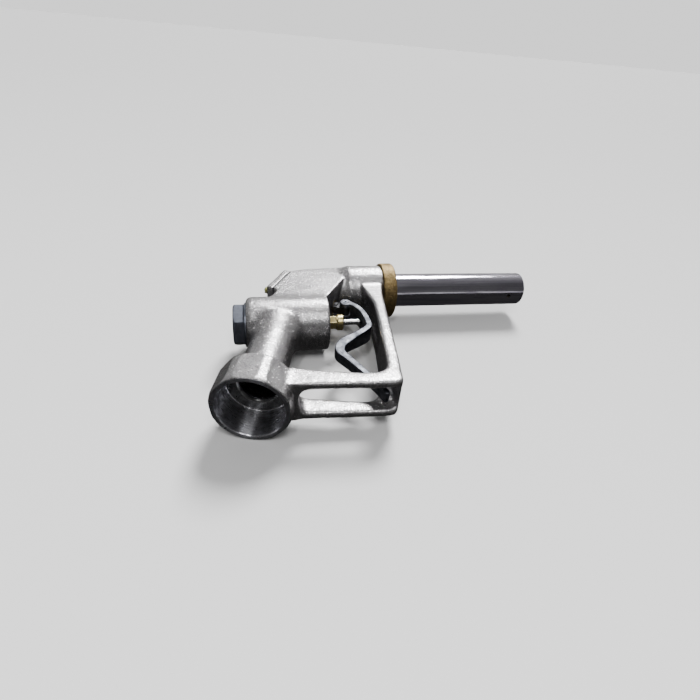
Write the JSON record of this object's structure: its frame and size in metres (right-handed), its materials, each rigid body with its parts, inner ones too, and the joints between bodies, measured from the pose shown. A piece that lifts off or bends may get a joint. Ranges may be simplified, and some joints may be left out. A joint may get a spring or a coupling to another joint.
{
  "type": "fuel nozzle",
  "caption": "Automatic shut-off fuel nozzle with a closed hand guard, zigzag trigger, slanted diaphragm cover, bronze collar and straight spout.",
  "frame": {"origin": "centre of the bottom face of the bounding box, with the nozzle lying on its left side", "axes": "+X along the spout towards its tip, +Y from the hand guard towards the top of the body, +Z to the nozzle's right side"},
  "size_m": [0.3628, 0.2338, 0.0664],
  "materials": {
    "cast_aluminium": "sand cast",
    "zinc_plate": "zinc plated",
    "yellow_zinc": "yellow zinc plated",
    "plated_lever": "bright plated casting",
    "stainless": "ground",
    "spring_steel": "drawn wire",
    "chrome": "polished",
    "bronze": "sand cast bronze",
    "brass": "turned",
    "copper": "drawn tube",
    "rubber": "matt",
    "packing": "matt"
  },
  "bodies": {
    "nozzle_body": {"body_casting": "cast_aluminium", "rear_cap": "zinc_plate", "cap_o_ring": "rubber", "main_spring": "spring_steel", "stem_packing": "packing", "packing_nut": "brass", "diaphragm_cover": "cast_aluminium", "diaphragm": "rubber", "cover_screws": "yellow_zinc", "diaphragm_spring": "spring_steel", "plunger_bush": "brass", "plunger_spring": "spring_steel", "check_seat": "brass", "check_spring": "spring_steel", "check_guide": "brass", "spout_gasket": "rubber", "spout_collar": "bronze", "spout_tube": "chrome", "vacuum_tube": "copper", "sensing_fitting": "brass"},
    "main_valve": {"valve_stem": "stainless", "poppet_disc": "brass", "poppet_seal": "rubber", "poppet_nut": "zinc_plate"},
    "plunger": {"latch_plunger": "stainless", "latch_balls": "stainless"},
    "trigger": {"lever": "plated_lever", "lever_pin": "zinc_plate"},
    "latch": {"latch_pin": "stainless", "latch_pin_nut": "zinc_plate", "diaphragm_washers": "zinc_plate"},
    "check_valve": {"check_poppet": "brass", "check_seal": "rubber"}
  },
  "joints": [
    {"name": "plunger_trip", "type": "slide", "parent": "nozzle_body", "child": "plunger", "axis": [0.887, -0.4617, 0], "range_m": [0, 0.008], "stiffness_N_per_m": 400, "springref_m": -0.01, "deforming": ["plunger_spring"]},
    {"name": "lever_squeeze", "type": "hinge", "parent": "plunger", "child": "trigger", "pos_m": [-0.04812, 0.0416, 0.03321], "axis": [0, 0, -1], "range_deg": [0, 15], "stiffness_Nm_per_rad": 2, "springref_deg": -11.46},
    {"name": "valve_lift", "type": "slide", "parent": "nozzle_body", "child": "main_valve", "axis": [-1, 0, 0], "range_m": [0, 0.0071], "deforming": ["main_spring"]},
    {"name": "latch_lift", "type": "slide", "parent": "nozzle_body", "child": "latch", "axis": [-0.887, 0.4617, 0], "range_m": [0, 0.002], "stiffness_N_per_m": 300, "springref_m": -0.003, "deforming": ["diaphragm", "diaphragm_spring"]},
    {"name": "check_lift", "type": "slide", "parent": "nozzle_body", "child": "check_valve", "axis": [1, 0, 0], "range_m": [0, 0.006], "stiffness_N_per_m": 300, "springref_m": -0.006, "deforming": ["check_spring"]}
  ],
  "couplings": [
    {"joint": "valve_lift", "follows": "lever_squeeze", "m_per_rad": 0.0267}
  ]
}
